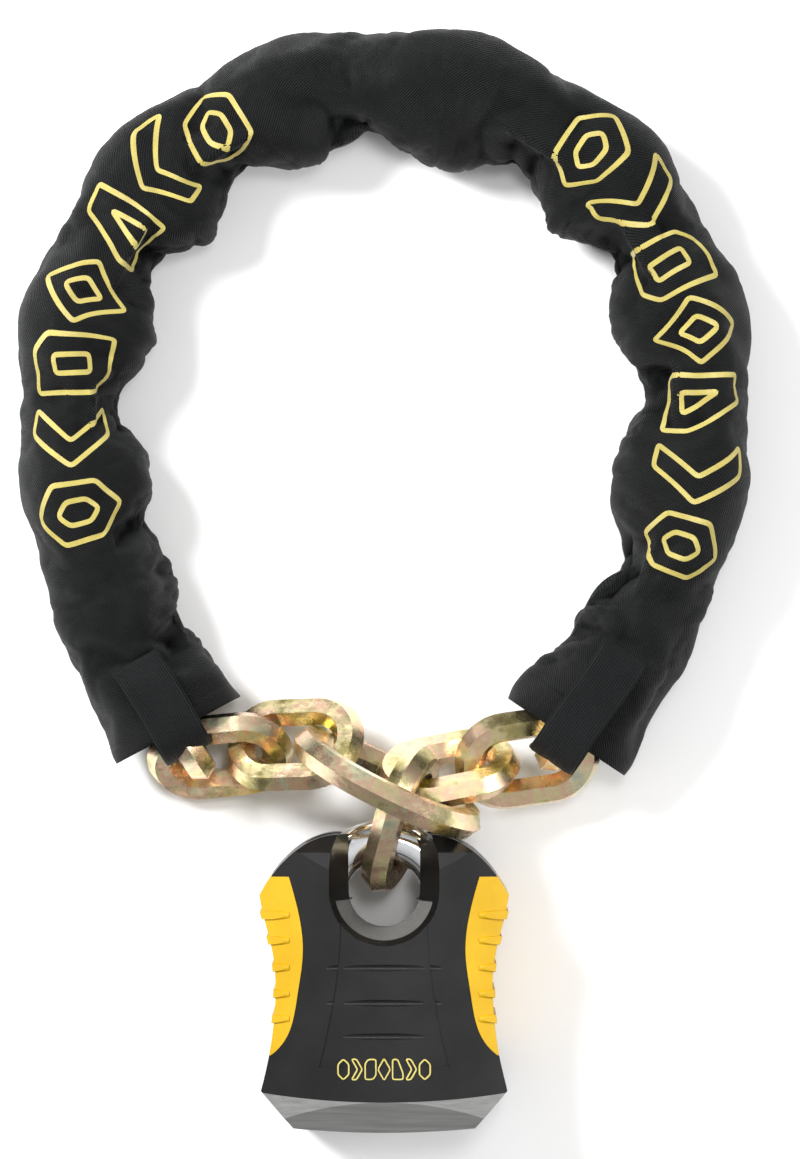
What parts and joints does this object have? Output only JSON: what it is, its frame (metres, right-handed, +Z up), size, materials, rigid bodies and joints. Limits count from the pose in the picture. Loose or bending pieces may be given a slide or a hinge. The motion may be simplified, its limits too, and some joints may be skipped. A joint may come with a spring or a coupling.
{
  "type": "chain lock",
  "caption": "Hardened hexagonal-bar chain in a black fabric sleeve, closed into a loop by a noose ring and a closed-shoulder padlock with yellow side grips.",
  "frame": {"origin": "centre of the bounding box footprint, on the surface that the lock lies on", "axes": "+Y from the padlock to the top of the loop, +X across, +Z up from the surface"},
  "size_m": [0.2552, 0.3841, 0.0664],
  "materials": {
    "plated_chain": "yellow zinc plating, iridescent",
    "sleeve_fabric": "black twill",
    "strap_web": "black web",
    "black_cover": "satin black",
    "yellow_grip": "satin yellow",
    "brushed_steel": "brushed",
    "shackle_chrome": "polished",
    "brass": "machined",
    "bright_steel": "zinc plated"
  },
  "bodies": {
    "covered_link_left_1": {"covered_link_left_1": "plated_chain"},
    "covered_link_left_2": {"covered_link_left_2": "plated_chain", "sleeve_left_1": "sleeve_fabric"},
    "covered_link_left_3": {"covered_link_left_3": "plated_chain"},
    "covered_link_left_4": {"covered_link_left_4": "plated_chain", "sleeve_left_2": "sleeve_fabric"},
    "covered_link_left_5": {"covered_link_left_5": "plated_chain"},
    "covered_link_left_6": {"covered_link_left_6": "plated_chain", "sleeve_left_3": "sleeve_fabric"},
    "covered_link_left_7": {"covered_link_left_7": "plated_chain"},
    "covered_link_left_8": {"covered_link_left_8": "plated_chain", "sleeve_left_4": "sleeve_fabric"},
    "covered_link_left_9": {"covered_link_left_9": "plated_chain"},
    "covered_link_left_10": {"covered_link_left_10": "plated_chain", "sleeve_left_5": "sleeve_fabric", "strap_left": "strap_web"},
    "link_a": {"link_a": "plated_chain"},
    "link_b": {"link_b": "plated_chain"},
    "noose_ring": {"noose_ring": "plated_chain"},
    "covered_link_right_1": {"covered_link_right_1": "plated_chain"},
    "covered_link_right_2": {"covered_link_right_2": "plated_chain", "sleeve_right_1": "sleeve_fabric"},
    "covered_link_right_3": {"covered_link_right_3": "plated_chain"},
    "covered_link_right_4": {"covered_link_right_4": "plated_chain", "sleeve_right_2": "sleeve_fabric"},
    "covered_link_right_5": {"covered_link_right_5": "plated_chain"},
    "covered_link_right_6": {"covered_link_right_6": "plated_chain", "sleeve_right_3": "sleeve_fabric"},
    "covered_link_right_7": {"covered_link_right_7": "plated_chain"},
    "covered_link_right_8": {"covered_link_right_8": "plated_chain", "sleeve_right_4": "sleeve_fabric"},
    "covered_link_right_9": {"covered_link_right_9": "plated_chain"},
    "covered_link_right_10": {"covered_link_right_10": "plated_chain", "sleeve_right_5": "sleeve_fabric", "strap_right": "strap_web"},
    "link_h": {"link_h": "plated_chain"},
    "link_g": {"link_g": "plated_chain"},
    "end_link": {"end_link": "plated_chain"},
    "covered_link_top": {"covered_link_top": "plated_chain", "sleeve_top": "sleeve_fabric"},
    "shackle": {"shackle": "shackle_chrome"},
    "lock_body": {"lock_core": "brushed_steel", "front_cover": "black_cover", "rear_cover": "black_cover", "grip_right": "yellow_grip", "grip_left": "yellow_grip", "base_cap": "brushed_steel", "base_screws": "bright_steel", "shackle_bushes": "brass", "cylinder_housing": "brass", "anti_drill_plate": "bright_steel", "shackle_spring": "bright_steel", "retaining_pin": "bright_steel"},
    "cylinder_plug": {"cylinder_plug": "brass", "disc_stack": "brass", "cam": "brass"},
    "lock_bolt_left": {"lock_bolt_left": "bright_steel"},
    "lock_bolt_right": {"lock_bolt_right": "bright_steel"},
    "dust_cover": {"dust_cover": "bright_steel"}
  },
  "joints": [
    {"name": "loop_squeeze", "type": "hinge", "parent": "covered_link_top", "child": "covered_link_left_1", "pos_m": [-0.02029, 0.1693, 0.02175], "axis": [0, 0, 1], "range_deg": [-0.69, 1.54]},
    {"name": "swing_covered_left_2", "type": "hinge", "parent": "covered_link_left_1", "child": "covered_link_left_2", "pos_m": [-0.03642, 0.16487, 0.02175], "axis": [0, 0, 1], "range_deg": [-1.23, 2.72]},
    {"name": "swing_covered_left_3", "type": "hinge", "parent": "covered_link_left_2", "child": "covered_link_left_3", "pos_m": [-0.07131, 0.14417, 0.02175], "axis": [0, 0, 1], "range_deg": [-0.76, 1.68]},
    {"name": "swing_covered_left_4", "type": "hinge", "parent": "covered_link_left_3", "child": "covered_link_left_4", "pos_m": [-0.08293, 0.13213, 0.02175], "axis": [0, 0, 1], "range_deg": [-1.61, 0.73]},
    {"name": "swing_covered_left_5", "type": "hinge", "parent": "covered_link_left_4", "child": "covered_link_left_5", "pos_m": [-0.10237, 0.09652, 0.02175], "axis": [0, 0, 1], "range_deg": [-1.11, 0.51]},
    {"name": "swing_covered_left_6", "type": "hinge", "parent": "covered_link_left_5", "child": "covered_link_left_6", "pos_m": [-0.10622, 0.08024, 0.02175], "axis": [0, 0, 1], "range_deg": [-1.04, 0.47]},
    {"name": "swing_covered_left_7", "type": "hinge", "parent": "covered_link_left_6", "child": "covered_link_left_7", "pos_m": [-0.10551, 0.03968, 0.02175], "axis": [0, 0, 1], "range_deg": [-3.29, 1.49]},
    {"name": "swing_covered_left_8", "type": "hinge", "parent": "covered_link_left_7", "child": "covered_link_left_8", "pos_m": [-0.10305, 0.02313, 0.02175], "axis": [0, 0, 1], "range_deg": [-3.23, 1.46]},
    {"name": "swing_covered_left_9", "type": "hinge", "parent": "covered_link_left_8", "child": "covered_link_left_9", "pos_m": [-0.09192, -0.01588, 0.02175], "axis": [0, 0, 1], "range_deg": [-2.42, 1.1]},
    {"name": "swing_covered_left_10", "type": "hinge", "parent": "covered_link_left_9", "child": "covered_link_left_10", "pos_m": [-0.08528, -0.03124, 0.02175], "axis": [0, 0, 1], "range_deg": [-1.05, 0.48]},
    {"name": "swing_link_a", "type": "hinge", "parent": "covered_link_left_10", "child": "link_a", "pos_m": [-0.06448, -0.06607, 0.02175], "axis": [0, 0, 1], "range_deg": [-0.28, 0.611]},
    {"name": "swing_link_b", "type": "hinge", "parent": "link_a", "child": "link_b", "pos_m": [-0.0396, -0.05203, 0.02175], "axis": [0, 0, 1], "range_deg": [-1.99, 4.41]},
    {"name": "swing_noose_ring", "type": "hinge", "parent": "link_b", "child": "noose_ring", "pos_m": [-0.01949, -0.05293, 0.02175], "axis": [0, 0, 1], "range_deg": [-1.25, 2.78]},
    {"name": "swing_covered_right_1", "type": "hinge", "parent": "covered_link_top", "child": "covered_link_right_1", "pos_m": [0.02029, 0.1693, 0.02175], "axis": [0, 0, 1], "range_deg": [-1.6, 0.72]},
    {"name": "swing_covered_right_2", "type": "hinge", "parent": "covered_link_right_1", "child": "covered_link_right_2", "pos_m": [0.03642, 0.16487, 0.02175], "axis": [0, 0, 1], "range_deg": [-2.81, 1.27]},
    {"name": "swing_covered_right_3", "type": "hinge", "parent": "covered_link_right_2", "child": "covered_link_right_3", "pos_m": [0.07131, 0.14417, 0.02175], "axis": [0, 0, 1], "range_deg": [-1.78, 0.81]},
    {"name": "swing_covered_right_4", "type": "hinge", "parent": "covered_link_right_3", "child": "covered_link_right_4", "pos_m": [0.08293, 0.13213, 0.02175], "axis": [0, 0, 1], "range_deg": [-0.71, 1.57]},
    {"name": "swing_covered_right_5", "type": "hinge", "parent": "covered_link_right_4", "child": "covered_link_right_5", "pos_m": [0.10237, 0.09652, 0.02175], "axis": [0, 0, 1], "range_deg": [-0.49, 1.08]},
    {"name": "swing_covered_right_6", "type": "hinge", "parent": "covered_link_right_5", "child": "covered_link_right_6", "pos_m": [0.10622, 0.08024, 0.02175], "axis": [0, 0, 1], "range_deg": [-0.34, 0.74]},
    {"name": "swing_covered_right_7", "type": "hinge", "parent": "covered_link_right_6", "child": "covered_link_right_7", "pos_m": [0.10539, 0.03968, 0.02175], "axis": [0, 0, 1], "range_deg": [-1.44, 3.19]},
    {"name": "swing_covered_right_8", "type": "hinge", "parent": "covered_link_right_7", "child": "covered_link_right_8", "pos_m": [0.10251, 0.0232, 0.02175], "axis": [0, 0, 1], "range_deg": [-1.43, 3.17]},
    {"name": "swing_covered_right_9", "type": "hinge", "parent": "covered_link_right_8", "child": "covered_link_right_9", "pos_m": [0.08955, -0.01524, 0.02175], "axis": [0, 0, 1], "range_deg": [-1.09, 2.42]},
    {"name": "swing_covered_right_10", "type": "hinge", "parent": "covered_link_right_9", "child": "covered_link_right_10", "pos_m": [0.08187, -0.0301, 0.02175], "axis": [0, 0, 1], "range_deg": [-0.51, 1.12]},
    {"name": "swing_link_h", "type": "hinge", "parent": "covered_link_right_10", "child": "link_h", "pos_m": [0.05797, -0.06289, 0.02175], "axis": [0, 0, 1], "range_deg": [-0.471, 0.217]},
    {"name": "swing_link_g", "type": "hinge", "parent": "link_h", "child": "link_g", "pos_m": [0.03597, -0.07095, 0.02175], "axis": [0, 0, 1], "range_deg": [-4.04, 1.82]},
    {"name": "swing_end_link", "type": "hinge", "parent": "link_g", "child": "end_link", "pos_m": [0.00836, -0.06836, 0.02175], "axis": [0, 0, 1], "range_deg": [-2.57, 1.16]},
    {"name": "padlock_swing", "type": "hinge", "parent": "end_link", "child": "shackle", "pos_m": [0, -0.0921, 0.025], "axis": [0, 0, 1], "range_deg": [-3, 1.2]},
    {"name": "key_turn", "type": "hinge", "parent": "lock_body", "child": "cylinder_plug", "pos_m": [0, -0.1902, 0.025], "axis": [0, 1, 0], "range_deg": [0, 90]},
    {"name": "body_release", "type": "slide", "parent": "shackle", "child": "lock_body", "axis": [0, -1, 0], "range_m": [0, 0.012]},
    {"name": "bolt_left_retract", "type": "slide", "parent": "lock_body", "child": "lock_bolt_left", "axis": [1, 0, 0], "range_m": [0, 0.003]},
    {"name": "bolt_right_retract", "type": "slide", "parent": "lock_body", "child": "lock_bolt_right", "axis": [-1, 0, 0], "range_m": [0, 0.003]},
    {"name": "dust_cover_slide", "type": "slide", "parent": "lock_body", "child": "dust_cover", "axis": [1, 0, 0], "range_m": [0, 0.012]}
  ],
  "couplings": [
    {"joint": "swing_covered_left_2", "follows": "loop_squeeze", "ratio": 1.7564},
    {"joint": "swing_covered_left_3", "follows": "loop_squeeze", "ratio": 1.0821},
    {"joint": "swing_covered_left_4", "follows": "loop_squeeze", "ratio": -1.0364},
    {"joint": "swing_covered_left_5", "follows": "loop_squeeze", "ratio": -0.71251},
    {"joint": "swing_covered_left_6", "follows": "loop_squeeze", "ratio": -0.66792},
    {"joint": "swing_covered_left_7", "follows": "loop_squeeze", "ratio": -2.1277},
    {"joint": "swing_covered_left_8", "follows": "loop_squeeze", "ratio": -2.0866},
    {"joint": "swing_covered_left_9", "follows": "loop_squeeze", "ratio": -1.5641},
    {"joint": "swing_covered_left_10", "follows": "loop_squeeze", "ratio": -0.67288},
    {"joint": "swing_link_a", "follows": "loop_squeeze", "ratio": 0.38898},
    {"joint": "swing_link_b", "follows": "loop_squeeze", "ratio": 2.8492},
    {"joint": "swing_noose_ring", "follows": "loop_squeeze", "ratio": 1.7914},
    {"joint": "swing_covered_right_1", "follows": "loop_squeeze", "ratio": -1.0283},
    {"joint": "swing_covered_right_2", "follows": "loop_squeeze", "ratio": -1.816},
    {"joint": "swing_covered_right_3", "follows": "loop_squeeze", "ratio": -1.1498},
    {"joint": "swing_covered_right_4", "follows": "loop_squeeze", "ratio": 1.0098},
    {"joint": "swing_covered_right_5", "follows": "loop_squeeze", "ratio": 0.69426},
    {"joint": "swing_covered_right_6", "follows": "loop_squeeze", "ratio": 0.47066},
    {"joint": "swing_covered_right_7", "follows": "loop_squeeze", "ratio": 2.0602},
    {"joint": "swing_covered_right_8", "follows": "loop_squeeze", "ratio": 2.0462},
    {"joint": "swing_covered_right_9", "follows": "loop_squeeze", "ratio": 1.5622},
    {"joint": "swing_covered_right_10", "follows": "loop_squeeze", "ratio": 0.71688},
    {"joint": "swing_link_h", "follows": "loop_squeeze", "ratio": -0.29833},
    {"joint": "swing_link_g", "follows": "loop_squeeze", "ratio": -2.6094},
    {"joint": "swing_end_link", "follows": "loop_squeeze", "ratio": -1.6583},
    {"joint": "key_turn", "follows": "body_release", "rad_per_m": 130.89},
    {"joint": "bolt_left_retract", "follows": "body_release", "ratio": 0.24998},
    {"joint": "bolt_right_retract", "follows": "body_release", "ratio": 0.24998}
  ]
}
